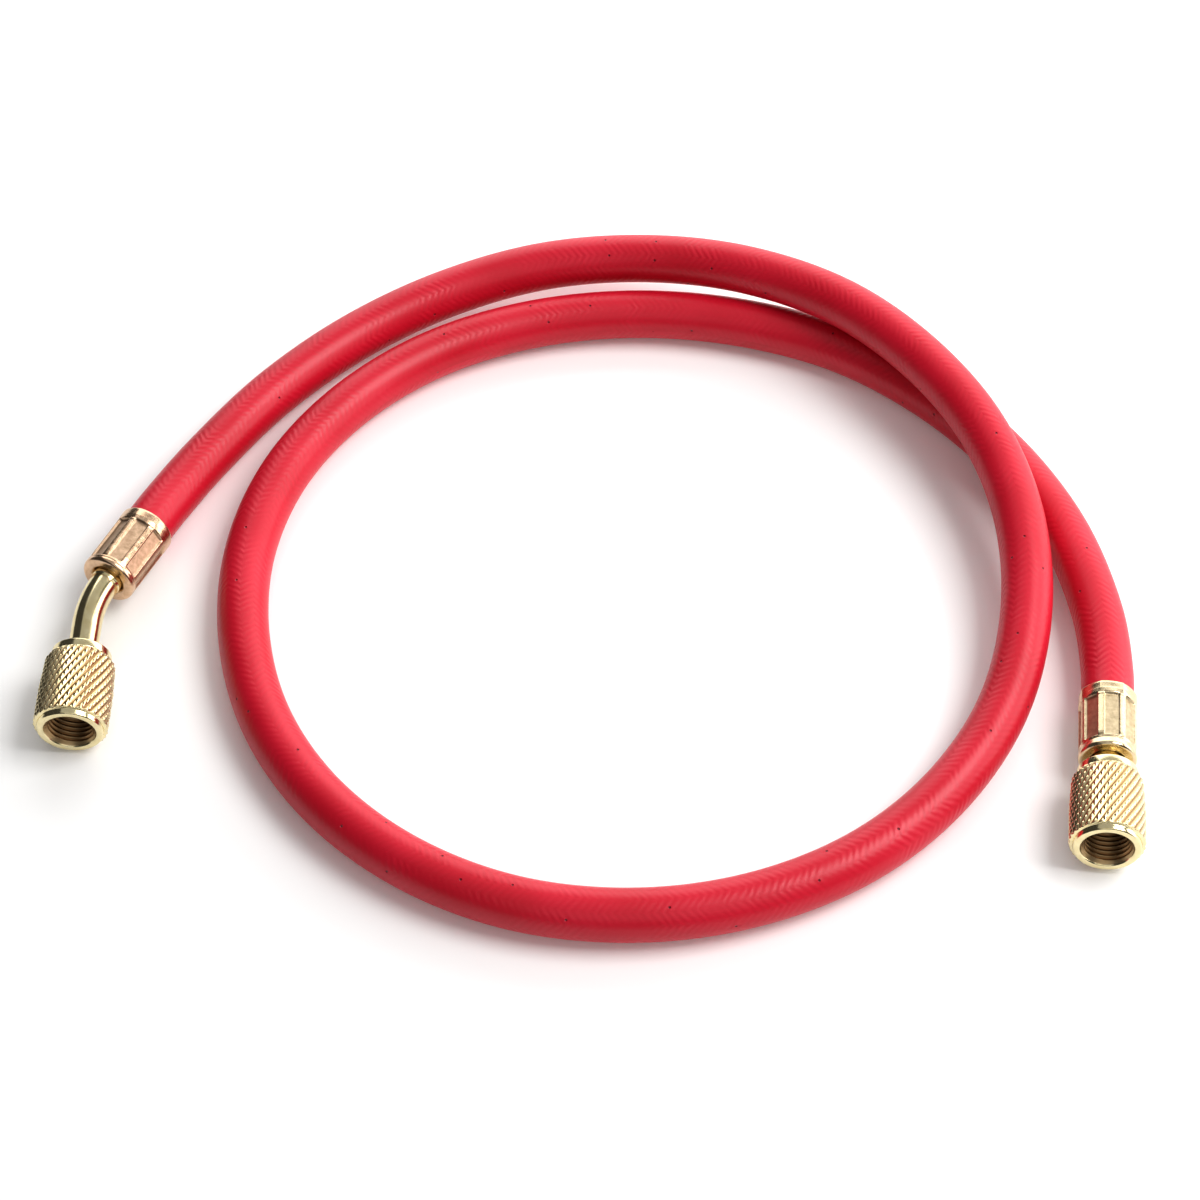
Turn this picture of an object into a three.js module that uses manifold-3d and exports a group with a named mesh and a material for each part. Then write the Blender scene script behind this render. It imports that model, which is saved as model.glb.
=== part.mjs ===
// Refrigerant charging hose: one loop of red rubber hose lying on the floor, with a crimped
// brass fitting at each end. One fitting is straight, the other has a bent stem, and each
// carries a knurled nut that turns freely on its stem.
// Millimetres, +Z up. The origin is the middle of the part's footprint, on the floor.

import * as THREE from 'three';
import { mergeVertices } from 'three/addons/utils/BufferGeometryUtils.js';
import Module from 'manifold-3d';

// Hose
const HOSE_OD = 12;
const HOSE_BORE = 5.6;
const HOSE_SIDES = 12;
const BORE_SIDES = 8;
const HOSE_STEPS = 68;
const SQUEEZED_OD = 10.4; // where the ferrule is crimped onto the hose

// Clearances
const SEAT_GAP = 0.3; // between pieces that touch
const RUNNING_GAP = 0.25; // between a nut and the stem that it turns on

// Ferrule, the crimped shell round each end of the hose
const FERRULE_LENGTH = 18.6;
const SHELL_WALL = 0.5; // behind the panels
const RIB_HEIGHT = 0.4; // of the ribs between the panels
const PANEL_ACROSS = SQUEEZED_OD + 2 * (SEAT_GAP + SHELL_WALL); // across two opposite panels
const FERRULE_BODY_OD = PANEL_ACROSS + 2 * RIB_HEIGHT;
const LIP_WALL = 0.45; // round the uncrimped hose
const COLLAR_OD = HOSE_OD + 2 * (SEAT_GAP + LIP_WALL); // the plain band at the hose's end
const COLLAR_LENGTH = 2.6;
const FRONT_RING_STEP = 0.2; // of the plain band at the nut's end, over the body
const FRONT_RING_OD = FERRULE_BODY_OD + 2 * FRONT_RING_STEP;
const FRONT_RING_LENGTH = 2.2;
const FERRULE_EDGE = 0.4; // rounding of its outer corners
const FRONT_WALL = 2;
const FRONT_RECESS_OD = 8.6; // the shallow recess round the stem
const FRONT_RECESS_DEPTH = 0.5;
const LIP_DEPTH = 2.6; // how deep the hose keeps its full size in the shell
const PANELS = 8; // sunk panels left by the crimping dies
const PANEL_WIDTH = 3.2;
const PANEL_END_GAP = 0.6; // from a panel to the band beside it

// Stems, the barbed tubes that the hose is crimped onto
const STEM_BORE = 3.4;
const STOP_OD = 9; // the collar that the hose butts against
const STOP_LENGTH = 1.5;
const BARB_SETBACK = 1.2; // from the ferrule's back end to the barb's tip
const BARB_COUNT = 4;
const BARB_HEIGHT = 0.35;
const STRAIGHT_NECK_OD = 7;
const BENT_TUBE_OD = 6.9;
const SHOULDER_OD = 8.2; // the small ring that holds a nut from behind
const SHOULDER_LENGTH = 0.8;

// Bent stem: where its two straight runs would meet, and the bend between them
const FERRULE_FRONT_TO_CORNER = 7.6;
const FERRULE_TO_CORNER = FERRULE_LENGTH + FERRULE_FRONT_TO_CORNER;
const CORNER_TO_NUT = 15.1;
const BEND_RADIUS = 32;
const STRAIGHT_FERRULE_TO_NUT = 3;

// Nuts
const NUT_LENGTH = 21.5;
const NUT_OD = 17; // over the knurl
const NUT_BACK_OD = 13.8; // smooth ring behind the knurl
const NUT_BACK_RING = 2.2;
const NUT_SHOULDER = 1.4; // length of the round shoulder where the knurl begins
const NUT_SHOULDER_DROP = 0.8; // how much smaller the knurl is there
const NUT_SWELL = 6; // length over which it then widens to full size
const NUT_FRONT_BAND = 1.5; // smooth band in front of the knurl
const NUT_FRONT_BAND_OD = 16.2;
const NUT_RIM_OD = 15.4;
const NUT_EDGE = 0.3;
const MOUTH_OD = 12; // countersink at the face
const THREAD_MINOR = 9.9; // 7/16-20 UNF
const COUNTERSINK = 0.9;
const THREAD_LENGTH = 11;
const CHAMBER_OD = 10.6; // relief behind the thread
const NUT_BACK_WALL = 3;

// Sealing head of the stem, inside the nut
const HEAD_OD = 9.2;
const HEAD_LENGTH = 5.7;
const CUP_OD = 8;
const CUP_DEPTH = 3;
const GASKET_BORE = 4.6;
const GASKET_PROUD = 0.6;
const DEPRESSOR_BASE = 0.8;
const DEPRESSOR_PIN_OD = 1.3;
const DEPRESSOR_PIN_LENGTH = 4.6;
const DEPRESSOR_ARMS = 3;
const DEPRESSOR_ARM_WIDTH = 1.1;

// Ways that the fittings point: degrees from -Y towards -X, and degrees above the floor
const STRAIGHT_HEADING = 6;
const STRAIGHT_RISE = 2;
const BENT_FERRULE_HEADING = 24.5;
const BENT_FERRULE_RISE = 3.5;
const BENT_NUT_HEADING = 2;
const BENT_NUT_RISE = -2.5;

// The hose's centre line, from the bent fitting's ferrule round to the straight one's
const ROUTE = [
  [-104.85, 10.95, 8.5], [-101.15, 18.8, 8], [-92.1, 35.5, 7], [-77.2, 57, 6.5],
  [-58, 75.5, 7], [-35.5, 89, 8.5], [-11, 96.15, 11], [15, 96.25, 13.5],
  [39.5, 89.5, 16.3], [62.5, 76.5, 18], [81, 57.5, 18.3], [94.5, 35, 17.3],
  [101.5, 9.5, 15], [101.5, -16.5, 11.5], [94.5, -42, 8.5], [80.5, -64, 6.8],
  [61.3, -81.2, 6.1], [37.5, -92.5, 6], [11.5, -96.9, 6], [-15, -94, 6],
  [-39, -83.5, 6], [-59, -66.5, 6], [-73, -44.5, 6], [-80, -19, 6],
  [-80, 7.5, 6], [-72.5, 32.5, 6], [-58, 54, 6], [-38, 70.5, 6],
  [-14, 80.5, 6], [12, 84, 6], [38.5, 81, 6], [63, 72, 6],
  [84, 56.5, 6], [101, 36.5, 6], [113, 12.5, 6.3], [118.8, -13.5, 6.9],
  [119.24, -31.4, 7.3], [118.55, -39, 7.55],
];

const ROUND_SEGMENTS = 32;
const SMALL_SEGMENTS = 20;
const STEM_SIDES = 16;
const BEND_STEPS = 18;
const BORE_STEPS = 20;

const wasm = await Module();
wasm.setup();

// A closed mesh as a solid that can be joined and cut
function toSolid(geometry) {
  const bare = geometry.clone();
  bare.deleteAttribute('normal');
  bare.deleteAttribute('uv');
  const merged = mergeVertices(bare, 1e-5);
  return new wasm.Manifold(new wasm.Mesh({
    numProp: 3,
    vertProperties: new Float32Array(merged.attributes.position.array),
    triVerts: new Uint32Array(merged.index.array),
  }));
}

function toGeometry(solid) {
  const mesh = solid.getMesh();
  const geometry = new THREE.BufferGeometry();
  geometry.setAttribute('position', new THREE.BufferAttribute(new Float32Array(mesh.vertProperties), 3));
  geometry.setIndex(new THREE.BufferAttribute(new Uint32Array(mesh.triVerts), 1));
  geometry.computeVertexNormals();
  return geometry;
}

// A turned shape about Y, from [diameter, height] pairs that run up the outside
function turned(profile, segments = ROUND_SEGMENTS) {
  return new THREE.LatheGeometry(profile.map(([od, y]) => new THREE.Vector2(od / 2, y)), segments);
}

// A turned shape with a hole: the profile goes up the outside and down the inside, and closes
function turnedRing(outside, inside, segments = ROUND_SEGMENTS) {
  return turned([...outside, ...inside, outside[0]], segments);
}

function polygonPoints(radius, sides) {
  return Array.from({ length: sides }, (_, i) => {
    const angle = (2 * Math.PI * i) / sides;
    return new THREE.Vector2(radius * Math.cos(angle), radius * Math.sin(angle));
  });
}

function tubeAlong(curve, steps, od, sides, bore = 0, boreSides = sides) {
  const section = new THREE.Shape(polygonPoints(od / 2, sides));
  if (bore > 0) {
    // The bore's flats touch its true circle, so what fits the circle fits the polygon
    section.holes.push(new THREE.Path(polygonPoints(bore / 2 / Math.cos(Math.PI / boreSides), boreSides)));
  }
  return new THREE.ExtrudeGeometry(section, { steps, bevelEnabled: false, extrudePath: curve });
}

// Two straight runs with a round bend between them
class BentLine extends THREE.Curve {
  constructor(start, corner, end, radius) {
    super();
    this.start = start;
    const into = corner.clone().sub(start).normalize();
    const out = end.clone().sub(corner).normalize();
    this.into = into;
    this.out = out;
    this.angle = into.angleTo(out);
    const tangentLength = radius * Math.tan(this.angle / 2);
    this.firstRun = corner.distanceTo(start) - tangentLength;
    this.arc = radius * this.angle;
    this.lastRun = end.distanceTo(corner) - tangentLength;
    this.axis = into.clone().cross(out).normalize();
    const inward = this.axis.clone().cross(into);
    this.bendStart = start.clone().addScaledVector(into, this.firstRun);
    this.centre = this.bendStart.clone().addScaledVector(inward, radius);
    this.bendEnd = corner.clone().addScaledVector(out, tangentLength);
  }

  getPoint(t, target = new THREE.Vector3()) {
    const along = t * (this.firstRun + this.arc + this.lastRun);
    if (along <= this.firstRun) {
      return target.copy(this.start).addScaledVector(this.into, along);
    }
    if (along >= this.firstRun + this.arc) {
      return target.copy(this.bendEnd).addScaledVector(this.out, along - this.firstRun - this.arc);
    }
    const turn = ((along - this.firstRun) / this.arc) * this.angle;
    return target.copy(this.bendStart).sub(this.centre).applyAxisAngle(this.axis, turn).add(this.centre);
  }
}

// The unit vector of a heading and a rise
function pointing(heading, rise) {
  const h = THREE.MathUtils.degToRad(heading);
  const r = THREE.MathUtils.degToRad(rise);
  return new THREE.Vector3(-Math.sin(h) * Math.cos(r), -Math.cos(h) * Math.cos(r), Math.sin(r));
}

const UP_THE_AXIS = new THREE.Vector3(0, 1, 0);

// A group whose +Y runs out along a fitting, from the ferrule's back end towards the nut
function fittingGroup(position, direction) {
  const group = new THREE.Group();
  group.position.copy(position);
  group.quaternion.setFromUnitVectors(UP_THE_AXIS, direction);
  return group;
}

const route = ROUTE.map(([x, y, z]) => new THREE.Vector3(x, y, z));
const bentStart = route[0];
const straightStart = route[route.length - 1];
const bentDirection = pointing(BENT_FERRULE_HEADING, BENT_FERRULE_RISE);
const bentNutDirection = pointing(BENT_NUT_HEADING, BENT_NUT_RISE);
const straightDirection = pointing(STRAIGHT_HEADING, STRAIGHT_RISE);

const bentFitting = fittingGroup(bentStart, bentDirection);
const straightFitting = fittingGroup(straightStart, straightDirection);

const stopEnd = FERRULE_LENGTH - FRONT_WALL - SEAT_GAP;
const stopStart = stopEnd - STOP_LENGTH;
const hoseInsertion = stopStart - SEAT_GAP;
const straightNutStart = FERRULE_LENGTH + STRAIGHT_FERRULE_TO_NUT;

// The hose runs on into both ferrules, and is thinner where they squeeze it
function hoseGeometry() {
  const path = new THREE.CatmullRomCurve3([
    bentStart.clone().addScaledVector(bentDirection, hoseInsertion),
    ...route,
    straightStart.clone().addScaledVector(straightDirection, hoseInsertion),
  ], false, 'centripetal');
  path.arcLengthDivisions = 2000;
  const tube = tubeAlong(path, HOSE_STEPS, HOSE_OD, HOSE_SIDES, HOSE_BORE, BORE_SIDES);
  const pastHose = 2;
  const squeeze = turnedRing(
    [[HOSE_OD + pastHose, LIP_DEPTH], [HOSE_OD + pastHose, hoseInsertion + pastHose]],
    [[SQUEEZED_OD, hoseInsertion + pastHose], [SQUEEZED_OD, LIP_DEPTH]],
  );
  let hose = toSolid(tube);
  for (const fitting of [bentFitting, straightFitting]) {
    fitting.updateMatrixWorld();
    hose = hose.subtract(toSolid(squeeze.clone().applyMatrix4(fitting.matrixWorld)));
  }
  return toGeometry(hose);
}

function ferruleGeometry(neckOd) {
  const bodyStart = COLLAR_LENGTH + FERRULE_EDGE;
  const bodyEnd = FERRULE_LENGTH - FRONT_RING_LENGTH - FERRULE_EDGE;
  const hole = neckOd + 2 * SEAT_GAP;
  const shell = turnedRing(
    [
      [COLLAR_OD - FERRULE_EDGE, 0],
      [COLLAR_OD, FERRULE_EDGE],
      [COLLAR_OD, COLLAR_LENGTH],
      [FERRULE_BODY_OD, bodyStart],
      [FERRULE_BODY_OD, bodyEnd],
      [FRONT_RING_OD, FERRULE_LENGTH - FRONT_RING_LENGTH],
      [FRONT_RING_OD, FERRULE_LENGTH - 2 * FERRULE_EDGE],
      [FRONT_RING_OD - 2 * FERRULE_EDGE, FERRULE_LENGTH],
    ],
    [
      [FRONT_RECESS_OD, FERRULE_LENGTH],
      [hole, FERRULE_LENGTH - FRONT_RECESS_DEPTH],
      [hole, FERRULE_LENGTH - FRONT_WALL],
      [SQUEEZED_OD + 2 * SEAT_GAP, FERRULE_LENGTH - FRONT_WALL],
      [SQUEEZED_OD + 2 * SEAT_GAP, LIP_DEPTH + SEAT_GAP],
      [HOSE_OD + 2 * SEAT_GAP, LIP_DEPTH + SEAT_GAP],
      [HOSE_OD + 2 * SEAT_GAP, 0],
    ],
  );
  const panelStart = bodyStart + PANEL_END_GAP;
  const panelLength = bodyEnd - PANEL_END_GAP - panelStart;
  const cutDepth = COLLAR_OD - PANEL_ACROSS;
  let ferrule = toSolid(shell);
  for (let i = 0; i < PANELS; i++) {
    const cut = new THREE.BoxGeometry(PANEL_WIDTH, panelLength, cutDepth);
    cut.translate(0, panelStart + panelLength / 2, PANEL_ACROSS / 2 + cutDepth / 2);
    cut.rotateY((2 * Math.PI * i) / PANELS);
    ferrule = ferrule.subtract(toSolid(cut));
  }
  return toGeometry(ferrule);
}

// The barbed end inside the hose, with the collar that the hose butts against
function barbProfile() {
  const barbOd = HOSE_BORE - 2 * SEAT_GAP;
  const barbPitch = (stopStart - BARB_SETBACK) / BARB_COUNT;
  const profile = [];
  for (let i = 0; i < BARB_COUNT; i++) {
    profile.push([barbOd - 2 * BARB_HEIGHT, BARB_SETBACK + i * barbPitch]);
    profile.push([barbOd, BARB_SETBACK + (i + 1) * barbPitch - BARB_HEIGHT]);
  }
  profile.push([barbOd, stopStart], [STOP_OD, stopStart], [STOP_OD, stopEnd]);
  return profile;
}

// The stem's far end in the nut's own measure: shoulder, neck through the nut's back, and head
function headProfile(neckOd, nutStart) {
  const headStart = nutStart + NUT_BACK_WALL + SEAT_GAP;
  return [
    [neckOd, nutStart - SEAT_GAP - SHOULDER_LENGTH],
    [SHOULDER_OD, nutStart - SEAT_GAP - SHOULDER_LENGTH],
    [SHOULDER_OD, nutStart - SEAT_GAP],
    [neckOd, nutStart - SEAT_GAP],
    [neckOd, headStart],
    [HEAD_OD, headStart],
    [HEAD_OD, headStart + HEAD_LENGTH],
    [CUP_OD, headStart + HEAD_LENGTH],
    [CUP_OD, headStart + HEAD_LENGTH - CUP_DEPTH],
  ];
}

function straightStemGeometry() {
  const outside = [
    ...barbProfile(),
    [STRAIGHT_NECK_OD, stopEnd],
    ...headProfile(STRAIGHT_NECK_OD, straightNutStart),
  ];
  const cupFloor = outside[outside.length - 1][1];
  return turnedRing(outside, [[STEM_BORE, cupFloor], [STEM_BORE, BARB_SETBACK]], SMALL_SEGMENTS);
}

// The nut's frame, seen from the bent fitting's own
function bentNutMatrix() {
  const corner = new THREE.Vector3(0, FERRULE_TO_CORNER, 0);
  const out = bentNutDirection.clone().applyQuaternion(bentFitting.quaternion.clone().invert());
  const turn = new THREE.Quaternion().setFromUnitVectors(UP_THE_AXIS, out);
  return new THREE.Matrix4().compose(corner, turn, new THREE.Vector3(1, 1, 1));
}

function bentStemGeometry() {
  const nutFrame = bentNutMatrix();
  const corner = new THREE.Vector3(0, FERRULE_TO_CORNER, 0);
  const tubeStart = new THREE.Vector3(0, stopStart, 0);
  const headEnd = CORNER_TO_NUT + NUT_BACK_WALL + SEAT_GAP + HEAD_LENGTH;
  const cupFloor = new THREE.Vector3(0, headEnd - CUP_DEPTH, 0).applyMatrix4(nutFrame);
  const pastHead = new THREE.Vector3(0, headEnd + 1, 0).applyMatrix4(nutFrame);

  const barb = turned([[0, BARB_SETBACK], ...barbProfile(), [0, stopEnd]], SMALL_SEGMENTS);
  const tubeLine = new BentLine(tubeStart, corner, cupFloor, BEND_RADIUS);
  const tube = tubeAlong(tubeLine, BEND_STEPS, BENT_TUBE_OD, STEM_SIDES);
  const headPoints = headProfile(BENT_TUBE_OD, CORNER_TO_NUT);
  const head = turned([[0, headPoints[0][1]], ...headPoints, [0, headEnd - CUP_DEPTH]], SMALL_SEGMENTS);
  const boreLine = new BentLine(new THREE.Vector3(), corner, pastHead, BEND_RADIUS);
  const bore = tubeAlong(boreLine, BORE_STEPS, STEM_BORE, BORE_SIDES);
  return toGeometry(
    toSolid(barb).add(toSolid(tube)).add(toSolid(head.applyMatrix4(nutFrame))).subtract(toSolid(bore)),
  );
}

function nutGeometry(neckOd) {
  const bandStart = NUT_LENGTH - NUT_FRONT_BAND;
  const threadStart = NUT_LENGTH - COUNTERSINK - THREAD_LENGTH;
  const hole = neckOd + 2 * RUNNING_GAP;
  return turnedRing(
    [
      [NUT_BACK_OD - 2 * NUT_EDGE, 0],
      [NUT_BACK_OD, NUT_EDGE],
      [NUT_BACK_OD, NUT_BACK_RING],
      [NUT_OD - NUT_SHOULDER_DROP, NUT_BACK_RING + NUT_SHOULDER],
      [NUT_OD, NUT_BACK_RING + NUT_SHOULDER + NUT_SWELL],
      [NUT_OD, bandStart - NUT_EDGE],
      [NUT_FRONT_BAND_OD, bandStart],
      [NUT_RIM_OD, NUT_LENGTH - NUT_EDGE],
      [NUT_RIM_OD - 2 * NUT_EDGE, NUT_LENGTH],
    ],
    [
      [MOUTH_OD, NUT_LENGTH],
      [THREAD_MINOR, NUT_LENGTH - COUNTERSINK],
      [THREAD_MINOR, threadStart],
      [CHAMBER_OD, threadStart - NUT_EDGE],
      [CHAMBER_OD, NUT_BACK_WALL],
      [hole, NUT_BACK_WALL],
      [hole, 0],
    ],
  );
}

// The gasket sits in the head's cup and stands a little proud of it
function gasketGeometry() {
  const od = CUP_OD - 2 * SEAT_GAP;
  const height = CUP_DEPTH - SEAT_GAP + GASKET_PROUD;
  return turnedRing([[od, 0], [od, height]], [[GASKET_BORE, height], [GASKET_BORE, 0]], SMALL_SEGMENTS);
}

// A pin on a three-armed base, which opens the valve core of the port
function depressorGeometry() {
  const baseOd = GASKET_BORE - 2 * SEAT_GAP;
  const pin = turned([
    [0, 0],
    [DEPRESSOR_PIN_OD * 2, 0],
    [DEPRESSOR_PIN_OD * 2, DEPRESSOR_BASE],
    [DEPRESSOR_PIN_OD, DEPRESSOR_BASE],
    [DEPRESSOR_PIN_OD, DEPRESSOR_PIN_LENGTH],
    [0, DEPRESSOR_PIN_LENGTH],
  ], SMALL_SEGMENTS);
  let depressor = toSolid(pin);
  for (let i = 0; i < DEPRESSOR_ARMS; i++) {
    const arm = new THREE.BoxGeometry(baseOd / 2, DEPRESSOR_BASE, DEPRESSOR_ARM_WIDTH);
    arm.translate(baseOd / 4, DEPRESSOR_BASE / 2, 0);
    arm.rotateY((2 * Math.PI * i) / DEPRESSOR_ARMS);
    depressor = depressor.add(toSolid(arm));
  }
  return toGeometry(depressor);
}

function material(color, roughness, metalness) {
  return new THREE.MeshStandardMaterial({ color, roughness, metalness });
}

const redRubber = material(0xd32a3c, 0.45, 0);
const paleBrass = material(0xc9b57a, 0.22, 1);
const warmBrass = material(0xcfa27c, 0.32, 1);
const blackRubber = material(0x1c1b1a, 0.7, 0);

function addPiece(group, name, geometry, finish, alongAxis = 0) {
  const mesh = new THREE.Mesh(geometry, finish);
  mesh.name = name;
  mesh.position.y = alongAxis;
  group.add(mesh);
}

const cupFloorInNut = NUT_BACK_WALL + SEAT_GAP + HEAD_LENGTH - CUP_DEPTH;

addPiece(straightFitting, 'ferrule_straight', ferruleGeometry(STRAIGHT_NECK_OD), warmBrass);
addPiece(straightFitting, 'stem_straight', straightStemGeometry(), paleBrass);
addPiece(straightFitting, 'nut_straight', nutGeometry(STRAIGHT_NECK_OD), paleBrass, straightNutStart);
addPiece(
  straightFitting, 'gasket_straight', gasketGeometry(), blackRubber,
  straightNutStart + cupFloorInNut + SEAT_GAP,
);

addPiece(bentFitting, 'ferrule_bent', ferruleGeometry(BENT_TUBE_OD), warmBrass);
addPiece(bentFitting, 'stem_bent', bentStemGeometry(), paleBrass);

const bentNutFrame = new THREE.Group();
bentNutFrame.applyMatrix4(bentNutMatrix());
bentFitting.add(bentNutFrame);
addPiece(bentNutFrame, 'nut_bent', nutGeometry(BENT_TUBE_OD), paleBrass, CORNER_TO_NUT);
addPiece(
  bentNutFrame, 'gasket_bent', gasketGeometry(), blackRubber,
  CORNER_TO_NUT + cupFloorInNut + SEAT_GAP,
);
addPiece(
  bentNutFrame, 'core_depressor', depressorGeometry(), paleBrass,
  CORNER_TO_NUT + cupFloorInNut + SEAT_GAP,
);

const chargingHose = new THREE.Group();
addPiece(chargingHose, 'hose', hoseGeometry(), redRubber);
chargingHose.add(straightFitting, bentFitting);

export default chargingHose;
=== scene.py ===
"""Dresses a refrigerant charging hose: braided red rubber, crimped brass shells, knurled swivel nuts."""
import math

import bmesh
import bpy
import numpy as np
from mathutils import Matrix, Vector


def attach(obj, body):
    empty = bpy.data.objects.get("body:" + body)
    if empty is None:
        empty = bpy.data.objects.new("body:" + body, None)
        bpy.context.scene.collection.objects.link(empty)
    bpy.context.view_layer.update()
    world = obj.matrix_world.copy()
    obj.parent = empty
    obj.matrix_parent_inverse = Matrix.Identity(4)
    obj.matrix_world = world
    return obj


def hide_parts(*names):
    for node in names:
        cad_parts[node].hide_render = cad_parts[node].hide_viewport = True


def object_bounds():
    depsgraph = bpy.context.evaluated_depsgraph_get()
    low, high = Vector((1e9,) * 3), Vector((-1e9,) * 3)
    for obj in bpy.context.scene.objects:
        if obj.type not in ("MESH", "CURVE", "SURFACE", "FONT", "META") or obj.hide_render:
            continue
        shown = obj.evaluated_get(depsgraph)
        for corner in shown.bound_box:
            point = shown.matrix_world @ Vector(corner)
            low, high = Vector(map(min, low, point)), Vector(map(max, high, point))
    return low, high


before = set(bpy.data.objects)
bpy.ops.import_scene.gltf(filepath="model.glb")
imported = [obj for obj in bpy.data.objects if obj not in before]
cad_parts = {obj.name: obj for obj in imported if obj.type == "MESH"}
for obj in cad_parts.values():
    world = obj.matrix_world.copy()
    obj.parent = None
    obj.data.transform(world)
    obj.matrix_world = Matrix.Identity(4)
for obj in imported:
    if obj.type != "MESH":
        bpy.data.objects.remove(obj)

CAD_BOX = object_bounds()
MM = 0.001

# Camera: it looks down on the loop with a long lens, at one point of the floor
CAMERA_ELEVATION = 51.0
CAMERA_HEIGHT = 588.8 * MM
CAMERA_TARGET = (2.8 * MM, -4.05 * MM)
CAMERA_LENS = 96.0

# The hose's centre line, the same points as the part's source, here in metres
ROUTE = [
    (-0.10485, 0.01095, 0.0085), (-0.10115, 0.0188, 0.0080), (-0.0921, 0.0355, 0.0070),
    (-0.0772, 0.0570, 0.0065), (-0.0580, 0.0755, 0.0070), (-0.0355, 0.0890, 0.0085),
    (-0.0110, 0.09615, 0.0110), (0.0150, 0.09625, 0.0135), (0.0395, 0.0895, 0.0163),
    (0.0625, 0.0765, 0.0180), (0.0810, 0.0575, 0.0183), (0.0945, 0.0350, 0.0173),
    (0.1015, 0.0095, 0.0150), (0.1015, -0.0165, 0.0115), (0.0945, -0.0420, 0.0085),
    (0.0805, -0.0640, 0.0068), (0.0613, -0.0812, 0.0061), (0.0375, -0.0925, 0.0060),
    (0.0115, -0.0969, 0.0060), (-0.0150, -0.0940, 0.0060), (-0.0390, -0.0835, 0.0060),
    (-0.0590, -0.0665, 0.0060), (-0.0730, -0.0445, 0.0060), (-0.0800, -0.0190, 0.0060),
    (-0.0800, 0.0075, 0.0060), (-0.0725, 0.0325, 0.0060), (-0.0580, 0.0540, 0.0060),
    (-0.0380, 0.0705, 0.0060), (-0.0140, 0.0805, 0.0060), (0.0120, 0.0840, 0.0060),
    (0.0385, 0.0810, 0.0060), (0.0630, 0.0720, 0.0060), (0.0840, 0.0565, 0.0060),
    (0.1010, 0.0365, 0.0060), (0.1130, 0.0125, 0.0063), (0.1188, -0.0135, 0.0069),
    (0.11924, -0.0314, 0.0073), (0.11855, -0.0390, 0.00755),
]

# The hose and the lines of both fittings, in millimetres from each ferrule's back end, and in degrees
HOSE_OD = 12.0
HOSE_INSERTION = 14.5
SQUEEZED_R = 5.2
SQUEEZE_LENGTH = 11.3
HOSE_RINGS = 960
HOSE_SIDES = 64
STRAIGHT_NUT_START = 21.6
FERRULE_TO_CORNER = 26.2
CORNER_TO_NUT = 15.1
BEND_RADIUS = 32.0
STRAIGHT_HEADING = (6.0, 2.0)
BENT_FERRULE_HEADING = (24.5, 3.5)
BENT_NUT_HEADING = (2.0, -2.5)
STRAIGHT_NECK_R = 3.5
BENT_TUBE_R = 3.45

# Crimped shells, in millimetres: sunk panels between ribs, all round
FERRULE_LENGTH = 18.6
FERRULE_COLUMNS = 320
FERRULE_STEP = 0.17
PANELS = 8
PANEL_START = 3.3
PANEL_FLAT = 5.86
PANEL_HALF_WIDTH = 1.6
PANEL_EDGE = 0.22
RIB_HEIGHT = 0.06

# Barbed stems and gaskets, in millimetres. A setback is counted from the nut's back face
STEM_BORE_R = 1.7
BARBS = 4
BARB_START = 1.2
BARB_PITCH = 3.4
BARB_LAND = 0.35
HEAD_SETBACK = 3.3
HEAD_LENGTH = 5.7
CUP_FLOOR = 2.7
STEM_COLUMNS = 64
GASKET_SETBACK = 6.3
GASKET_LENGTH = 3.3
GASKET_INNER_R = 2.3
GASKET_OUTER_R = 3.7
GASKET_COLUMNS = 48

# The nuts, in millimetres from their own back face. The knurl is two crossing sets of grooves
NUT_LENGTH = 21.5
KNURL_BACK = 2.2
KNURL_FRONT = 20.0
KNURL_ROWS = 92
KNURL_STARTS = 30
KNURL_AXIAL_PITCH = 2.75
KNURL_DEPTH = 0.56
KNURL_LAND = 0.12
CROSS_STARTS = 36
CROSS_AXIAL_PITCH = 2.85
CROSS_DEPTH = 0.30
CROSS_LAND = 0.35
THREAD_BACK = 9.8
THREAD_FRONT = 21.1
THREAD_ROWS = 90
THREAD_PITCH = 1.27
THREAD_MINOR_R = 4.95
THREAD_MAJOR_R = 5.53
COUNTERSINK_START = 20.2
NECK_CLEARANCE = 0.25
NUT_BORE_R = 5.3
NUT_COLUMNS = 432

# What a row of the nut's section is part of
PLAIN, KNURLED, THREADED = 0, 1, 2

# The braid that shows through the hose's cover, and the cover's pin pricks, in metres
BRAID_PITCH = 1.8 * MM
BRAID_COLUMNS = 12
BRAID_SLOPE = 0.75
BRAID_WAVER = 1.3 * MM
BRAID_RELIEF = 0.024 * MM
PRICK_CELL = 15.0 * MM
PRICK_DEPTH = 0.25 * MM

# Depth of the fine grain on polished brass, in metres
BRASS_GRAIN = 0.004 * MM


def pointing(heading, rise):
    """Unit vector of a heading, in degrees from -Y towards -X, and a rise above the floor."""
    h, r = math.radians(heading), math.radians(rise)
    return np.array([-math.sin(h) * math.cos(r), -math.cos(h) * math.cos(r), math.sin(r)])


def smooth(x):
    """Smooth step from 0 to 1 as x goes from 0 to 1."""
    x = np.clip(x, 0, 1)
    return x * x * (3 - 2 * x)


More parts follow.
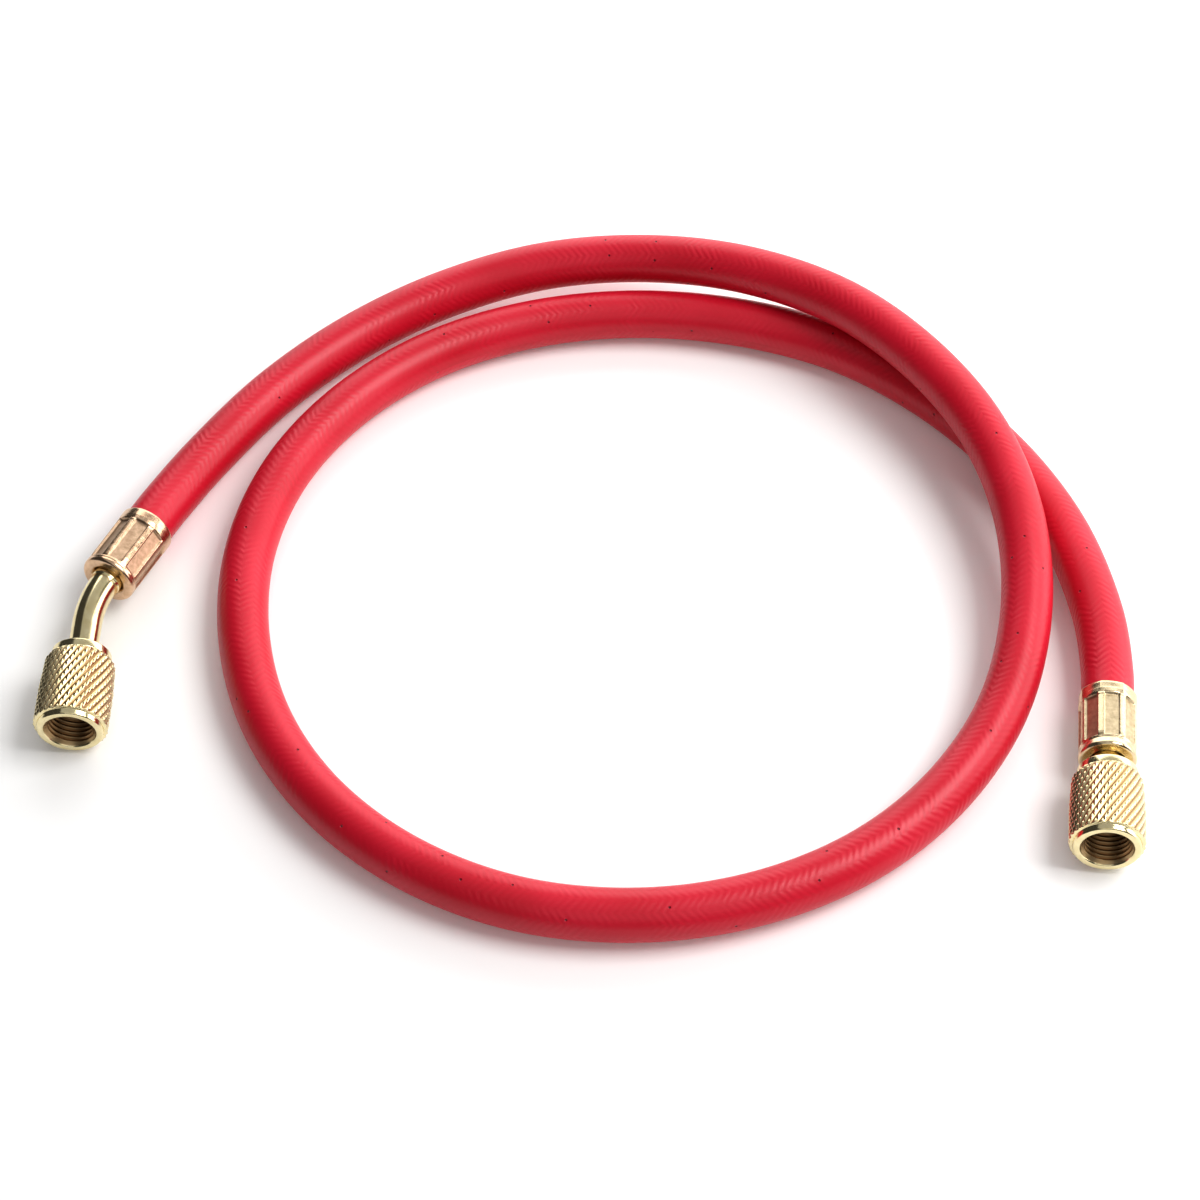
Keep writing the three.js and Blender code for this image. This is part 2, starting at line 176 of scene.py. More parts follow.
def catmull_rom(points, per_span=40):
    """Centripetal Catmull-Rom curve through the points, sampled finely."""
    p = np.array(points)
    p = np.vstack([2 * p[0] - p[1], p, 2 * p[-1] - p[-2]])
    out = []
    for p0, p1, p2, p3 in zip(p[:-3], p[1:-2], p[2:-1], p[3:]):
        a, b, c = (np.linalg.norm(v) ** 0.5 for v in (p1 - p0, p2 - p1, p3 - p2))
        t1 = ((p1 - p0) / a - (p2 - p0) / (a + b) + (p2 - p1) / b) * b
        t2 = ((p2 - p1) / b - (p3 - p1) / (b + c) + (p3 - p2) / c) * b
        u = (np.arange(per_span) / per_span)[:, None]
        out.append(p1 + t1 * u + (3 * (p2 - p1) - 2 * t1 - t2) * u**2 + (2 * (p1 - p2) + t1 + t2) * u**3)
    return np.vstack(out + [p[-2:-1]])


def along(points):
    return np.r_[0, np.cumsum(np.linalg.norm(np.diff(points, axis=0), axis=1))]


def resample(points, distances):
    s = along(points)
    return np.stack([np.interp(distances, s, points[:, i]) for i in range(3)], axis=1)


def frames(points):
    """A pair of cross directions carried along the points without twist."""
    t = np.gradient(points, axis=0)
    t /= np.linalg.norm(t, axis=1)[:, None]
    u = np.cross(t[0], [0, 0, 1.0])
    us = []
    for k in t:
        u = u - k * (u @ k)
        u = u / np.linalg.norm(u)
        us.append(u)
    us = np.array(us)
    return us, np.cross(t, us)


def grid_mesh(name, rings, uv_along, uv_around, closed=False):
    """A mesh through rings of points, UV map in metres. A closed one joins its last ring to its first."""
    n, m = rings.shape[:2]
    verts = rings.reshape(-1, 3)
    row = np.arange(n if closed else n - 1)
    i, j = np.meshgrid(row, np.arange(m), indexing="ij")
    i2, j2 = (i + 1) % n, (j + 1) % m
    faces = np.stack([i * m + j, i * m + j2, i2 * m + j2, i2 * m + j], axis=-1).reshape(-1, 4)
    mesh = bpy.data.meshes.new(name)
    mesh.vertices.add(len(verts))
    mesh.vertices.foreach_set("co", verts.astype(np.float32).ravel())
    mesh.loops.add(faces.size)
    mesh.loops.foreach_set("vertex_index", faces.astype(np.int32).ravel())
    mesh.polygons.add(len(faces))
    mesh.polygons.foreach_set("loop_start", np.arange(0, faces.size, 4, dtype=np.int32))
    a = np.r_[uv_along, uv_along[-1]]
    b = np.linspace(0, 1, m + 1)
    width = np.r_[uv_around, uv_around[-1]]
    uv = np.empty((len(row), m, 4, 2), np.float32)
    for corner, (di, dj) in enumerate([(0, 0), (0, 1), (1, 1), (1, 0)]):
        uv[:, :, corner, 0] = b[j + dj] * width[i + di]
        uv[:, :, corner, 1] = a[i + di]
    mesh.uv_layers.new(name="UVMap").data.foreach_set("uv", uv.ravel())
    mesh.update(calc_edges=True)
    mesh.validate()
    mesh.shade_smooth()
    obj = bpy.data.objects.new(name, mesh)
    bpy.context.scene.collection.objects.link(obj)
    return obj


def close_ends(obj, rings, sides):
    """Flat caps on a tube's two open ends."""
    bm = bmesh.new()
    bm.from_mesh(obj.data)
    bm.verts.ensure_lookup_table()
    first = [bm.verts[k] for k in range(sides)]
    last = [bm.verts[(rings - 1) * sides + k] for k in range(sides)]
    bm.faces.new(list(reversed(first)))
    bm.faces.new(last)
    bmesh.ops.recalc_face_normals(bm, faces=bm.faces)
    bm.to_mesh(obj.data)
    bm.free()
    obj.data.shade_smooth()


class Line:
    """A straight or once-bent centre line in metres, asked by distance in millimetres."""

    def __init__(self, start, direction, corner_at=None, out=None, radius=0.0):
        self.start, self.into, self.out = np.array(start), direction, out
        self.corner_at = corner_at
        self.u = np.cross(direction, [0, 0, 1.0])
        self.u /= np.linalg.norm(self.u)
        if out is not None:
            self.angle = math.acos(direction @ out)
            self.radius = radius
            self.tangent = radius * math.tan(self.angle / 2)
            self.arc = radius * self.angle
            self.axis = np.cross(direction, out)
            self.axis /= np.linalg.norm(self.axis)

    def at(self, s):
        """Point, cross directions u and v, at s millimetres from the ferrule's back end."""
        if self.out is None or s <= self.corner_at - self.tangent:
            return self._frame(self.start + self.into * s * MM, 0.0)
        run = s - (self.corner_at - self.tangent)
        bend_start = self.start + self.into * (self.corner_at - self.tangent) * MM
        centre = bend_start + np.cross(self.axis, self.into) * self.radius * MM
        if run <= self.arc:
            turn = run / self.radius
            return self._frame(centre + self._turned(bend_start - centre, turn), turn)
        end = centre + self._turned(bend_start - centre, self.angle)
        return self._frame(end + self.out * (run - self.arc) * MM, self.angle)

    def _turned(self, v, angle):
        k = self.axis
        return v * math.cos(angle) + np.cross(k, v) * math.sin(angle) + k * (k @ v) * (1 - math.cos(angle))

    def _frame(self, point, turn):
        u = self.u if turn == 0 else self._turned(self.u, turn)
        t = self.into if turn == 0 else self._turned(self.into, turn)
        return point, u, np.cross(t, u)

    def length_to_nut(self):
        """Distance along the line at which the nut's back face stands."""
        return self.corner_at - 2 * self.tangent + self.arc + CORNER_TO_NUT


def swept(name, line, s, radii, columns):
    """Rings about a line, joined all round. radii is one value or one row of values for each place in s."""
    radii = np.asarray(radii, float)
    if radii.ndim == 1:
        radii = np.repeat(radii[:, None], columns, axis=1)
    theta = 2 * math.pi * np.arange(columns) / columns
    rings = np.empty((len(s), columns, 3))
    for k, sk in enumerate(s):
        point, u, v = line.at(sk)
        rings[k] = point + (np.outer(np.cos(theta), u) + np.outer(np.sin(theta), v)) * radii[k][:, None] * MM
    steps = np.hypot(np.diff(s), np.diff(radii.mean(axis=1)))
    lengthwise = np.r_[0, np.cumsum(steps)] * MM
    return grid_mesh(name, rings, lengthwise, 2 * math.pi * radii.mean(axis=1) * MM, closed=True)


def rounded(profile, edge, steps):
    """Breaks each corner of an [s, r] profile with a small round, so that edges catch the light."""
    p = np.array(profile, float)
    n = len(p)
    out = []
    for k in range(n):
        a, b, c = p[k - 1], p[k], p[(k + 1) % n]
        la, lc = np.linalg.norm(a - b), np.linalg.norm(c - b)
        e = min(edge, la * 0.45, lc * 0.45)
        start, end = b + (a - b) / la * e, b + (c - b) / lc * e
        for i in range(steps + 1):
            t = i / steps
            out.append((1 - t) ** 2 * start + 2 * t * (1 - t) * b + t * t * end)
    return np.array(out)


def densified(profile, step, closed=True):
    """Adds points along the long runs of an [s, r] profile. A closed one goes back to its first point."""
    out = []
    ends = np.roll(profile, -1, axis=0) if closed else profile[1:]
    for a, b in zip(profile, ends):
        count = max(1, int(math.ceil(np.linalg.norm(b - a) / step)))
        out.extend(a + (b - a) * i / count for i in range(count))
    return np.array(out if closed else out + [profile[-1]])


# Materials

def node_material(name):
    mat = bpy.data.materials.new(name)
    mat.use_nodes = True
    tree = mat.node_tree
    return mat, tree, tree.nodes["Principled BSDF"]


def link(tree, a, b):
    tree.links.new(a, b)


def math_node(tree, operation, a, b=None):
    node = tree.nodes.new("ShaderNodeMath")
    node.operation = operation
    for socket, value in zip(node.inputs, (a, b)):
        if value is None:
            continue
        if isinstance(value, (int, float)):
            socket.default_value = value
        else:
            link(tree, value, socket)
    return node.outputs[0]


def noise(tree, vector, scale, detail=3.0, roughness=0.5):
    node = tree.nodes.new("ShaderNodeTexNoise")
    node.inputs["Scale"].default_value = scale
    node.inputs["Detail"].default_value = detail
    node.inputs["Roughness"].default_value = roughness
    link(tree, vector, node.inputs["Vector"])
    return node.outputs["Fac"]


def ramp(tree, value, stops):
    node = tree.nodes.new("ShaderNodeValToRGB")
    elements = node.color_ramp.elements
    while len(elements) < len(stops):
        elements.new(0.5)
    for element, (position, color) in zip(elements, stops):
        element.position = position
        element.color = (*color, 1)
    link(tree, value, node.inputs["Fac"])
    return node.outputs["Color"]


def map_range(tree, value, low, high, to_low, to_high):
    node = tree.nodes.new("ShaderNodeMapRange")
    for name, number in (("From Min", low), ("From Max", high), ("To Min", to_low), ("To Max", to_high)):
        node.inputs[name].default_value = number
    link(tree, value, node.inputs["Value"])
    return node.outputs["Result"]


def bump(tree, height, distance, normal=None):
    node = tree.nodes.new("ShaderNodeBump")
    node.inputs["Strength"].default_value = 1.0
    node.inputs["Distance"].default_value = distance
    link(tree, height, node.inputs["Height"])
    if normal is not None:
        link(tree, normal, node.inputs["Normal"])
    return node.outputs["Normal"]


def mix_color(tree, factor, a, b):
    """Colour a where the factor is 0, b where it is 1. Each is a colour or a socket."""
    node = tree.nodes.new("ShaderNodeMix")
    node.data_type = "RGBA"
    link(tree, factor, node.inputs["Factor"])
    for name, value in (("A", a), ("B", b)):
        if isinstance(value, tuple):
            node.inputs[name].default_value = (*value, 1)
        else:
            link(tree, value, node.inputs[name])
    return node.outputs["Result"]


def attribute(tree, name):
    node = tree.nodes.new("ShaderNodeAttribute")
    node.attribute_name = name
    return node.outputs["Fac"]


def object_position(tree):
    return tree.nodes.new("ShaderNodeTexCoord").outputs["Object"]


def red_rubber():
    """Satin red rubber. The braid beneath shows through as herringbone, and the cover is pin-pricked, with
    painted shade in each prick.
    """
    mat, tree, shader = node_material("red_rubber")
    uv = tree.nodes.new("ShaderNodeUVMap")
    uv.uv_map = "UVMap"
    split = tree.nodes.new("ShaderNodeSeparateXYZ")
    link(tree, uv.outputs["UV"], split.inputs[0])
    around, lengthwise = split.outputs[0], split.outputs[1]
    column_width = math.pi * HOSE_OD * MM / BRAID_COLUMNS
    zigzag = math_node(tree, "PINGPONG", around, column_width)
    waver = math_node(tree, "MULTIPLY", noise(tree, uv.outputs["UV"], 260, 2), BRAID_WAVER)
    slanted = math_node(tree, "ADD", math_node(tree, "MULTIPLY", zigzag, BRAID_SLOPE), lengthwise)
    phase = math_node(tree, "MULTIPLY", math_node(tree, "ADD", slanted, waver), 2 * math.pi / BRAID_PITCH)
    ridge = math_node(tree, "SINE", phase)
    # The yarns fade in and out along the hose, as the cover is thicker in places
    patches = map_range(tree, noise(tree, uv.outputs["UV"], 110, 3), 0.38, 0.68, 0.15, 1.0)
    seam = math_node(tree, "SINE", math_node(tree, "MULTIPLY", around, math.pi / column_width))
    column_shape = math_node(tree, "MULTIPLY", math_node(tree, "ABSOLUTE", seam), 0.6)
    yarn = math_node(tree, "MULTIPLY", math_node(tree, "ADD", ridge, column_shape), patches)

    prick = tree.nodes.new("ShaderNodeTexVoronoi")
    prick.voronoi_dimensions = "2D"
    prick.inputs["Scale"].default_value = 1 / PRICK_CELL
    link(tree, uv.outputs["UV"], prick.inputs["Vector"])
    pit = map_range(tree, prick.outputs["Distance"], 0.008, 0.024, 0.0, 1.0)

    grain = noise(tree, object_position(tree), 5200, 2, 0.6)
    normal = bump(tree, yarn, BRAID_RELIEF)
    normal = bump(tree, pit, PRICK_DEPTH, normal)
    normal = bump(tree, grain, 0.012 * MM, normal)
    link(tree, normal, shader.inputs["Normal"])

    clouds = noise(tree, uv.outputs["UV"], 35, 4)
    shade = math_node(tree, "ADD", math_node(tree, "MULTIPLY", yarn, 0.07), clouds)
    reds = [(0.2, (0.52, 0.003, 0.018)), (0.55, (0.62, 0.008, 0.032)), (0.9, (0.70, 0.016, 0.048))]
    # Painted shade: each pin prick is coloured near black at its middle
    color = mix_color(tree, pit, (0.16, 0.0, 0.01), ramp(tree, shade, reds))
    link(tree, color, shader.inputs["Base Color"])
    link(tree, map_range(tree, grain, 0.3, 0.7, 0.32, 0.44), shader.inputs["Roughness"])
    shader.inputs["IOR"].default_value = 1.48
    return mat


def pale_brass():
    """Polished brass with a faint cloudiness and a fine grain."""
    mat, tree, shader = node_material("pale_brass")
    where = object_position(tree)
    cloud = noise(tree, where, 420, 4, 0.6)
    color = ramp(tree, cloud, [(0.3, (0.76, 0.64, 0.36)), (0.7, (0.88, 0.78, 0.50))])
    link(tree, color, shader.inputs["Base Color"])
    fine = noise(tree, where, 3400, 3, 0.6)
    link(tree, map_range(tree, fine, 0.3, 0.7, 0.10, 0.2), shader.inputs["Roughness"])
    link(tree, bump(tree, fine, BRASS_GRAIN), shader.inputs["Normal"])
    shader.inputs["Metallic"].default_value = 1.0
    return mat


def crimped_brass(name, light, deep):
    """Warm brass: satin bands and ribs, with duller, mottled panels where the dies pressed."""
    mat, tree, shader = node_material(name)
    where = object_position(tree)
    panel = attribute(tree, "panel")
    mottle = noise(tree, where, 900, 5, 0.65)
    bright = ramp(tree, mottle, [(0.3, deep), (0.7, light)])
    dull = ramp(tree, mottle, [(0.3, [c * 0.70 for c in deep]), (0.7, [c * 0.86 for c in light])])
    link(tree, mix_color(tree, panel, bright, dull), shader.inputs["Base Color"])
    duller = math_node(tree, "MULTIPLY", panel, 0.14)
    rough = math_node(tree, "ADD", map_range(tree, mottle, 0.3, 0.7, 0.18, 0.28), duller)
    link(tree, rough, shader.inputs["Roughness"])
    grit = math_node(tree, "MULTIPLY", noise(tree, where, 2600, 4, 0.7), panel)
    link(tree, bump(tree, grit, 0.03 * MM), shader.inputs["Normal"])
    shader.inputs["Metallic"].default_value = 1.0
    return mat


def knurled_brass():
    """The nuts' brass: bright on the crests; down in the knurl and the thread the colour is darkened as
    painted shade, and the surface is duller.
    """
    mat, tree, shader = node_material("pale_brass_knurled")
    where = object_position(tree)
    # How much painted shade falls here, from 0 on the crests to 1 deep in the grooves and the thread; it
    # also makes the surface rougher
    depth = attribute(tree, "groove_shade")
    cloud = noise(tree, where, 500, 4, 0.6)
    light = ramp(tree, cloud, [(0.3, (0.80, 0.69, 0.40)), (0.7, (0.90, 0.80, 0.52))])
    # Painted shade: the colour goes to dark brown deep in the knurl's grooves and all down the thread, where
    # the attribute read above is high
    link(tree, mix_color(tree, depth, light, (0.28, 0.135, 0.045)), shader.inputs["Base Color"])
    fine = noise(tree, where, 3400, 3, 0.6)
    duller = math_node(tree, "MULTIPLY", depth, 0.3)
    rough = math_node(tree, "ADD", map_range(tree, fine, 0.3, 0.7, 0.12, 0.2), duller)
    link(tree, rough, shader.inputs["Roughness"])
    link(tree, bump(tree, fine, BRASS_GRAIN), shader.inputs["Normal"])
    shader.inputs["Metallic"].default_value = 1.0
    return mat


def black_rubber():
    mat, tree, shader = node_material("black_rubber")
    where = object_position(tree)
    shade = noise(tree, where, 1500, 3)
    color = ramp(tree, shade, [(0.3, (0.012, 0.012, 0.012)), (0.7, (0.03, 0.03, 0.03))])
    link(tree, color, shader.inputs["Base Color"])
    shader.inputs["Roughness"].default_value = 0.65
    link(tree, bump(tree, shade, 0.02 * MM), shader.inputs["Normal"])
    return mat


def add_attribute(obj, name, values):
    values = np.asarray(values, np.float32).ravel()
    obj.data.attributes.new(name, "FLOAT", "POINT").data.foreach_set("value", values)


# Pieces

def make_hose(straight, bent):
    """The whole hose on its centre line, with its ends reaching into both ferrules."""
    route = np.vstack([
        bent.start + bent.into * HOSE_INSERTION * MM,
        ROUTE,
        straight.start + straight.into * HOSE_INSERTION * MM,
    ])
    fine = catmull_rom(route)
    total = along(fine)[-1]
    distances = np.linspace(0, total, HOSE_RINGS)
    centres = resample(fine, distances)
    u, v = frames(centres)
    theta = 2 * math.pi * np.arange(HOSE_SIDES) / HOSE_SIDES
    from_end = np.minimum(distances, total - distances)
    radius = np.where(from_end < SQUEEZE_LENGTH * MM, SQUEEZED_R, HOSE_OD / 2) * MM
    ring = np.cos(theta)[None, :, None] * u[:, None] + np.sin(theta)[None, :, None] * v[:, None]
    rings = centres[:, None] + ring * radius[:, None, None]
    hose = grid_mesh("red_hose", rings, distances, np.full(HOSE_RINGS, math.pi * HOSE_OD * MM))
    close_ends(hose, HOSE_RINGS, HOSE_SIDES)
    return hose, centres


def barrel_radius(s):
    """Outer radius of the nut before knurling: a round shoulder, then a slow swell to full size."""
    back_radius, shoulder_rise, swell_rise = 7.0, 1.15, 0.35
    shoulder = np.sqrt(1 - (1 - np.clip((s - 2.15) / 1.7, 0, 1)) ** 2)
    swell = smooth((s - 3.2) / 9.0)
    return back_radius + shoulder_rise * shoulder + swell_rise * swell


def knurl_cut(s, theta):
    """Depth of the two crossing sets of grooves, of which one is deeper."""
    turn = theta / (2 * math.pi)
    deep = np.abs(2 * ((turn * KNURL_STARTS - s / KNURL_AXIAL_PITCH) % 1) - 1)
    shallow = np.abs(2 * ((turn * CROSS_STARTS + s / CROSS_AXIAL_PITCH) % 1) - 1)
    cut = KNURL_DEPTH * np.clip((deep - KNURL_LAND) / (1 - KNURL_LAND), 0, 1)
    cross = CROSS_DEPTH * np.clip((shallow - CROSS_LAND) / (1 - CROSS_LAND), 0, 1)
    return cut, cross


def nut_rows(neck_radius):
    """The nut's section as rows of [s, r, kind], up the outside and down the inside."""
    hole = neck_radius + NECK_CLEARANCE
    back = rounded([(0, hole), (0, 6.9), (1.95, 6.9), (2.1, 6.7)], 0.35, 5)[2:]
    knurl = [(s, barrel_radius(s)) for s in np.linspace(KNURL_BACK, KNURL_FRONT, KNURL_ROWS)]
    front = [(20.1, 8.2), (20.14, 7.95), (20.16, 7.72), (20.24, 7.64), (20.4, 7.62), (20.8, 7.58),
             (21.15, 7.52), (21.32, 7.44), (21.43, 7.32), (21.49, 7.16), (NUT_LENGTH, 7.0),
             (NUT_LENGTH, 6.3), (21.47, 6.12), (21.4, 6.02), (21.25, 5.92)]
    thread = [(s, 0) for s in np.linspace(THREAD_FRONT, THREAD_BACK, THREAD_ROWS)]
    inner = rounded([(9.6, NUT_BORE_R), (3.0, NUT_BORE_R), (3.0, hole)], 0.15, 3)[3:]
    sections = ((back, PLAIN), (knurl, KNURLED), (front, PLAIN), (thread, THREADED), (inner, PLAIN))
    return np.array([(s, r, kind) for points, kind in sections for s, r in points])


def make_nut(name, line, start, neck_radius):
    rows = nut_rows(neck_radius)
    s, kind = rows[:, 0], rows[:, 2]
    theta = 2 * math.pi * np.arange(NUT_COLUMNS) / NUT_COLUMNS
    radii = np.repeat(rows[:, 1][:, None], NUT_COLUMNS, axis=1)
    # Painted shade for the knurl's grooves and the thread, stored on the nut for its material; it also makes
    # those places rougher
    groove_shade = np.zeros_like(radii)

    k = kind == KNURLED
    cut, cross = knurl_cut(s[k][:, None], theta[None])
    fade = smooth((s[k] - KNURL_BACK) / 0.5) * (0.55 + 0.45 * smooth((KNURL_FRONT - s[k]) / 0.5))
    depth = np.maximum(cut, cross) * fade[:, None]
    radii[k] = barrel_radius(s[k])[:, None] - depth
    # Painted shade grows with the depth of the knurl's cut
    groove_shade[k] = np.clip(depth / KNURL_DEPTH, 0, 1) ** 1.2 * 0.95

    t = kind == THREADED
    phase = (s[t][:, None] / THREAD_PITCH - theta[None] / (2 * math.pi)) % 1
    tooth = np.clip(np.abs(2 * phase - 1) * 1.35 - 0.12, 0, 1)
    runout = smooth((s[t] - THREAD_BACK) / 0.8)
    lead = 1 - smooth((s[t] - COUNTERSINK_START) / 0.9)
    bore = THREAD_MAJOR_R - (THREAD_MAJOR_R - THREAD_MINOR_R) * tooth * runout[:, None]
    countersink = 5.0 + (s[t] - COUNTERSINK_START) * 0.95
    radii[t] = np.maximum(bore, countersink[:, None])
    # Painted shade over the whole thread, a little lighter at the mouth and on the thread's crests
    groove_shade[t] = 1.0 - 0.25 * tooth * lead[:, None] - 0.35 * (1 - lead[:, None])

    nut = swept(name, line, s + start, radii, NUT_COLUMNS)
    add_attribute(nut, "groove_shade", groove_shade)
    return nut


def make_ferrule(name, line, neck_radius, octagon, panel_end, turned, crest):
    """Crimped shell: sunk panels between ribs, with a plain band at each end.

    octagon says how far, from 0 to 1, the back end is pressed to a polygon. turned is the turn of the
    panels in degrees. crest is the radius of the ridge in front of the panels.
    """
    ridge = panel_end + 0.45
    outside = [(0, 6.35), (0, 6.52), (0.08, 6.64), (0.25, 6.72), (0.6, 6.75), (2.2, 6.74), (3.2, 6.64),
               (4.0, 6.56), (14.6, 6.52), (ridge - 0.3, 6.46), (ridge - 0.1, crest),
               (ridge + 0.05, crest + 0.02), (ridge + 0.2, crest - 0.04), (17.7, 6.6), (17.98, 6.57),
               (18.2, 6.48), (18.38, 6.32), (18.5, 6.12), (18.58, 5.85), (FERRULE_LENGTH, 5.6),
               (FERRULE_LENGTH, 4.5)]
    outside = densified(np.array(outside), FERRULE_STEP, closed=False)
    inside = [(18.55, 4.3), (18.3, 4.15), (18.1, neck_radius + 0.35), (16.6, neck_radius + 0.3), (16.6, 5.5),
              (2.9, 5.5), (2.9, 6.3)]
    profile = np.vstack([outside, inside])
    s, base = profile[:, 0], profile[:, 1]
    theta = 2 * math.pi * np.arange(FERRULE_COLUMNS) / FERRULE_COLUMNS
    local = (theta + math.radians(turned) + math.pi / PANELS) % (2 * math.pi / PANELS) - math.pi / PANELS
    radii = np.repeat(base[:, None], FERRULE_COLUMNS, axis=1)
    outer = (np.arange(len(s)) < len(outside)) & (base > 6.3)
    flat = PANEL_FLAT / np.cos(local)
    across = smooth((PANEL_HALF_WIDTH + PANEL_EDGE - np.abs(6.2 * np.tan(local))) / PANEL_EDGE)
    lengthwise = smooth((s - PANEL_START) / 0.35) * smooth((panel_end - s) / 0.35)
    pressed = lengthwise[:, None] * across[None] * outer[:, None]
    rib = lengthwise[:, None] * (1 - across[None]) * outer[:, None] * RIB_HEIGHT
    radii = (radii + rib) * (1 - pressed) + np.minimum(flat[None], radii) * pressed
    corner = math.cos(math.pi / PANELS) / np.cos(local)
    near_collar = (1 - smooth((s - 1.6) / 2.2)) * outer
    radii = radii * (1 - octagon * near_collar[:, None] * (1 - corner[None]))
    shell = swept(name, line, s, radii, FERRULE_COLUMNS)
    add_attribute(shell, "panel", pressed)
    return shell


def head_profile(neck, nut_start):
    """The small ring that holds the nut from behind, then the sealing head with its cup for the gasket."""
    head = nut_start + HEAD_SETBACK
    return [(nut_start - 1.1, neck), (nut_start - 1.1, 4.1), (nut_start - 0.3, 4.1), (nut_start - 0.3, neck),
            (head, neck), (head, 4.6), (head + HEAD_LENGTH, 4.6), (head + HEAD_LENGTH, 4.0),
            (head + CUP_FLOOR, 4.0), (head + CUP_FLOOR, STEM_BORE_R)]


def make_stem(name, line, neck, nut_start):
    """Barbed tube through the ferrule, with the sealing head inside the nut."""
    barb = [(BARB_START, STEM_BORE_R), (BARB_START, 2.1)]
    for i in range(BARBS):
        barb_end = BARB_START + (i + 1) * BARB_PITCH
        barb += [(barb_end - BARB_LAND, 2.5), (barb_end, 2.15)]
    collar = [(14.8, 2.5), (14.8, 4.5), (16.3, 4.5), (16.3, neck + 0.2), (19.4, neck + 0.2), (19.7, neck)]
    profile = rounded(barb + collar + head_profile(neck, nut_start), 0.18, 3)
    profile = densified(profile, 0.6)
    return swept(name, line, profile[:, 0], profile[:, 1], STEM_COLUMNS)


def make_gasket(name, line, nut_start):
    back = nut_start + GASKET_SETBACK
    front = back + GASKET_LENGTH
    section = [(back, GASKET_INNER_R), (back, GASKET_OUTER_R),
               (front, GASKET_OUTER_R), (front, GASKET_INNER_R)]
    profile = rounded(section, 0.3, 4)
    return swept(name, line, profile[:, 0], profile[:, 1], GASKET_COLUMNS)


# Stage

def make_floor():
    size = 3.0  # metres from the middle to each side
    mesh = bpy.data.meshes.new("floor")
    corners = [(-size, -size, 0), (size, -size, 0), (size, size, 0), (-size, size, 0)]
    mesh.from_pydata(corners, [], [(0, 1, 2, 3)])
    floor = bpy.data.objects.new("floor", mesh)
    bpy.context.scene.collection.objects.link(floor)
    floor.location.z = CAD_BOX[0][2]
    mat, tree, shader = node_material("floor_white")
    shader.inputs["Base Color"].default_value = (0.92, 0.915, 0.91, 1)
    shader.inputs["Roughness"].default_value = 0.55
    shader.inputs["Emission Color"].default_value = (1.0, 0.985, 0.975, 1)
    shader.inputs["Emission Strength"].default_value = 0.10
    mesh.materials.append(mat)


def add_light(name, position, target, size, power):
    data = bpy.data.lights.new(name, "AREA")
    data.shape = "RECTANGLE"
    data.size, data.size_y = size
    data.energy = power
    light = bpy.data.objects.new(name, data)
    bpy.context.scene.collection.objects.link(light)
    light.location = position
    light.rotation_euler = (Vector(target) - Vector(position)).to_track_quat("-Z", "Y").to_euler()


def light_stage():
    world = bpy.data.worlds.new("studio")
    bpy.context.scene.world = world
    world.use_nodes = True
    background = world.node_tree.nodes["Background"]
    background.inputs["Color"].default_value = (1.0, 0.98, 0.96, 1)
    background.inputs["Strength"].default_value = 0.07
    add_light("back_wall", (0.42, 0.62, 0.36), (0.42, -1.0, 0.32), (1.5, 0.66), 7.5)
    add_light("right_wall", (1.15, 0.1, 0.34), (-1.0, 0.0, 0.25), (1.0, 0.62), 6.0)
    add_light("ceiling", (0.25, 0.15, 1.25), (0.25, 0.15, 0.0), (1.9, 2.1), 5.5)
    add_light("key_right", (0.75, 0.0, 1.1), (0, 0, 0), (0.8, 0.7), 13.2)
    add_light("fill_front", (0.15, -1.0, 0.9), (0, 0, 0), (1.3, 0.7), 2.5)


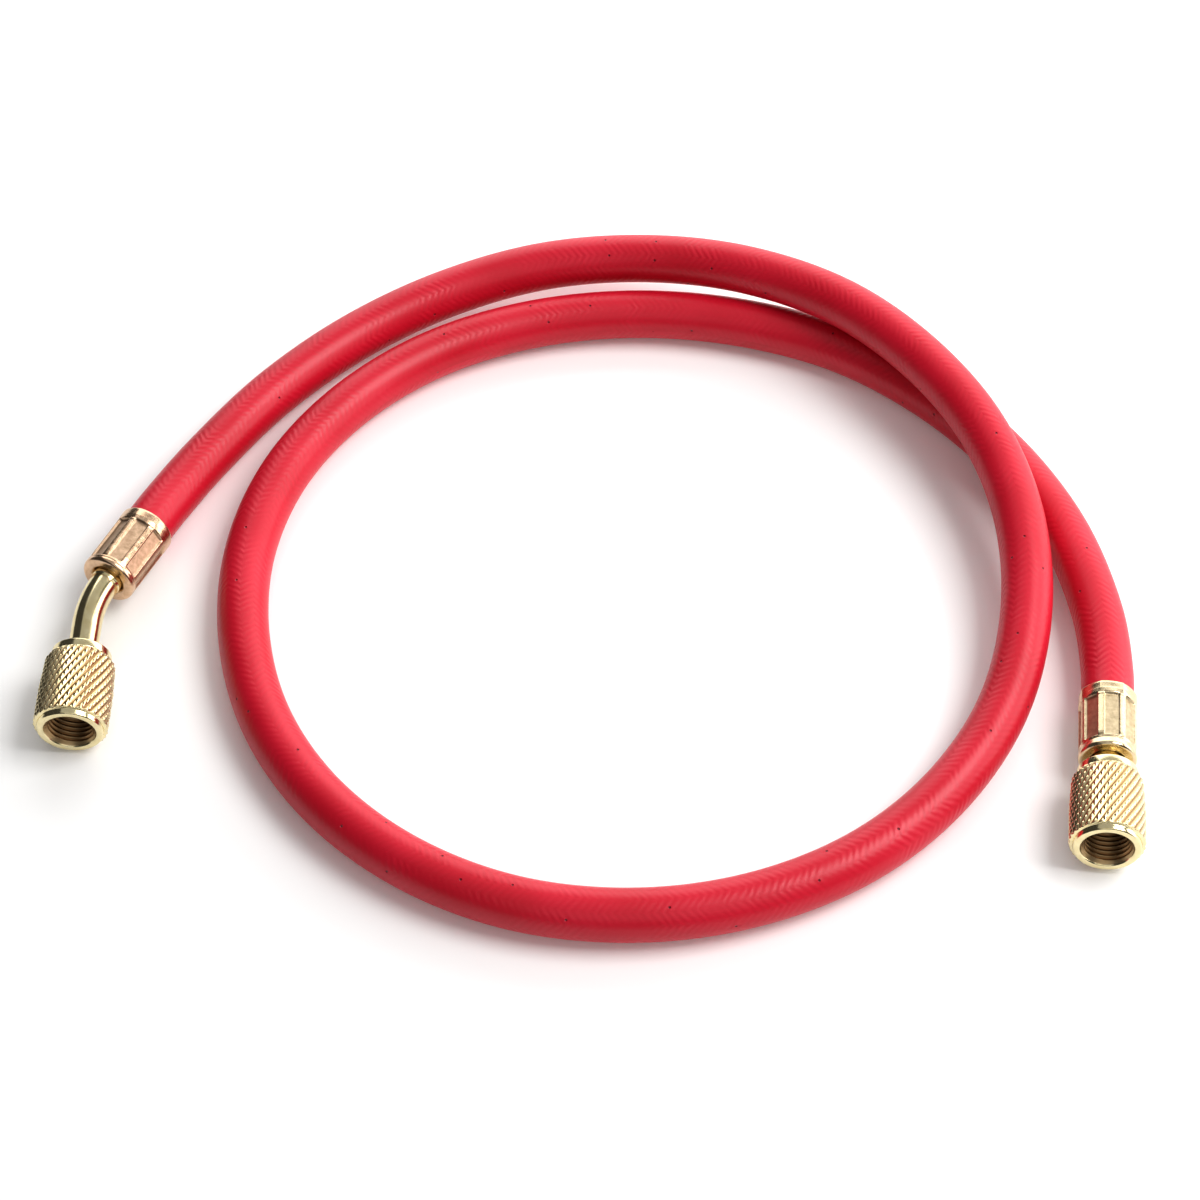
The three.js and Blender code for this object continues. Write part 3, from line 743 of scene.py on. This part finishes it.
def make_camera():
    data = bpy.data.cameras.new("camera")
    data.lens = CAMERA_LENS
    data.sensor_width = 36.0
    camera = bpy.data.objects.new("camera", data)
    bpy.context.scene.collection.objects.link(camera)
    back = CAMERA_HEIGHT / math.tan(math.radians(CAMERA_ELEVATION))
    camera.location = (CAMERA_TARGET[0], CAMERA_TARGET[1] - back, CAMERA_HEIGHT)
    camera.rotation_euler = (math.radians(90 - CAMERA_ELEVATION), 0, 0)
    bpy.context.scene.camera = camera


def build():
    make_camera()
    straight = Line(ROUTE[-1], pointing(*STRAIGHT_HEADING))
    bent_in, bent_out = pointing(*BENT_FERRULE_HEADING), pointing(*BENT_NUT_HEADING)
    bent = Line(ROUTE[0], bent_in, FERRULE_TO_CORNER, bent_out, BEND_RADIUS)
    bent_nut_start = bent.length_to_nut()

    rubber = red_rubber()
    pale = pale_brass()
    knurled = knurled_brass()
    black = black_rubber()

    hose, path = make_hose(straight, bent)
    pieces = [(hose, "hose", "hose_assembly", "red_rubber", rubber)]
    gold = crimped_brass("warm_brass_gold", (0.80, 0.67, 0.45), (0.66, 0.52, 0.33))
    rose = crimped_brass("warm_brass_rose", (0.82, 0.60, 0.42), (0.62, 0.41, 0.26))
    for side, line, neck, start, warm, crimp in (
        ("straight", straight, STRAIGHT_NECK_R, STRAIGHT_NUT_START, gold, (0.36, 15.6, 2.5, 6.44)),
        ("bent", bent, BENT_TUBE_R, bent_nut_start, rose, (0.1, 16.5, 12.0, 6.6)),
    ):
        shell = make_ferrule("crimped_shell_" + side, line, neck, *crimp)
        stem = make_stem("stem_tube_" + side, line, neck, start)
        nut = make_nut("knurled_nut_" + side, line, start, neck)
        gasket = make_gasket("gasket_ring_" + side, line, start)
        pieces += [
            (shell, "ferrule_" + side, "hose_assembly", "warm_brass", warm),
            (stem, "stem_" + side, "hose_assembly", "pale_brass", pale),
            (nut, "nut_" + side, side + "_nut", "pale_brass", knurled),
            (gasket, "gasket_" + side, "hose_assembly", "black_rubber", black),
        ]
    for piece, node, body, slot, mat in pieces:
        piece.data.materials.clear()
        piece.data.materials.append(mat)
        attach(piece, body)
        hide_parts(node)
    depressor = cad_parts["core_depressor"]
    depressor.data.materials.clear()
    depressor.data.materials.append(pale)

    make_floor()
    light_stage()


build()
bpy.context.scene.view_settings.view_transform = "Standard"
bpy.context.scene.view_settings.gamma = 0.86
bpy.context.view_layer.update()
